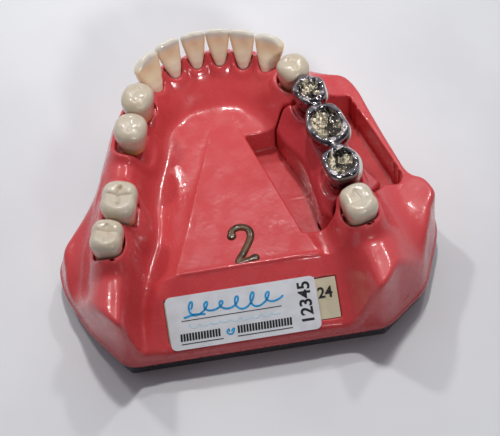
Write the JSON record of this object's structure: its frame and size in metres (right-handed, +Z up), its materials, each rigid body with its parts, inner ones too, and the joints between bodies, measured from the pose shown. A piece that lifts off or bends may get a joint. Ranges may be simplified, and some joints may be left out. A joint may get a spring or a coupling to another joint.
{
  "type": "dental demonstration jaw model",
  "caption": "Lower jaw demonstration model: gum-coloured casting on a dark base plate, screwed-in teeth, a lift-out block and a removable metal bridge.",
  "frame": {"origin": "centre of the base outline on the table, under the base plate", "axes": "+Z up, +Y towards the front teeth, +X towards the side with the bridge"},
  "size_m": [0.089, 0.0767, 0.031],
  "materials": {
    "gum_resin": "glossy cast gum-coloured resin",
    "dark_base_resin": "satin dark grey moulding",
    "tooth_resin": "polished ivory tooth resin, darker at the neck",
    "bridge_metal": "polished rims with a sandblasted chewing surface",
    "facing_resin": "white facing resin",
    "stump_resin": "dark red resin",
    "cream_card": "aged cream plastic",
    "white_paper": "coated white paper",
    "brown_enamel": "glossy brown filler",
    "zinc_steel": "zinc plated",
    "brass": "turned",
    "nickel_plate": "nickel plated"
  },
  "bodies": {
    "jaw": {"jaw_base": "gum_resin", "base_plate": "dark_base_resin", "base_screws": "zinc_steel", "thread_inserts": "brass", "tooth_screws": "zinc_steel", "dowel_bushes": "brass", "keeper_disc": "zinc_steel", "label_plate": "cream_card", "sticker": "white_paper", "number_inlay": "brown_enamel", "left_central_incisor": "tooth_resin", "right_central_incisor": "tooth_resin", "left_lateral_incisor": "tooth_resin", "right_lateral_incisor": "tooth_resin", "left_canine": "tooth_resin", "right_canine": "tooth_resin", "left_first_premolar": "tooth_resin", "right_first_premolar": "tooth_resin", "left_second_molar": "tooth_resin", "left_third_molar": "tooth_resin", "right_third_molar": "tooth_resin"},
    "loose_tooth": {"left_second_premolar": "tooth_resin"},
    "block": {"bridge_block": "gum_resin", "block_dowels": "zinc_steel", "block_magnet": "nickel_plate", "premolar_stump": "stump_resin", "molar_stump": "stump_resin"},
    "bridge": {"bridge_framework": "bridge_metal", "premolar_facing": "facing_resin", "pontic_facing": "facing_resin", "molar_facing": "facing_resin"}
  },
  "joints": [
    {"name": "block_lift", "type": "slide", "parent": "jaw", "child": "block", "axis": [0, 0, 1], "range_m": [0, 0.03]},
    {"name": "bridge_lift", "type": "slide", "parent": "block", "child": "bridge", "axis": [0, 0, 1], "range_m": [0, 0.012]},
    {"name": "loose_tooth_pull", "type": "slide", "parent": "jaw", "child": "loose_tooth", "axis": [0, 0, 1], "range_m": [0, 0.016]}
  ]
}
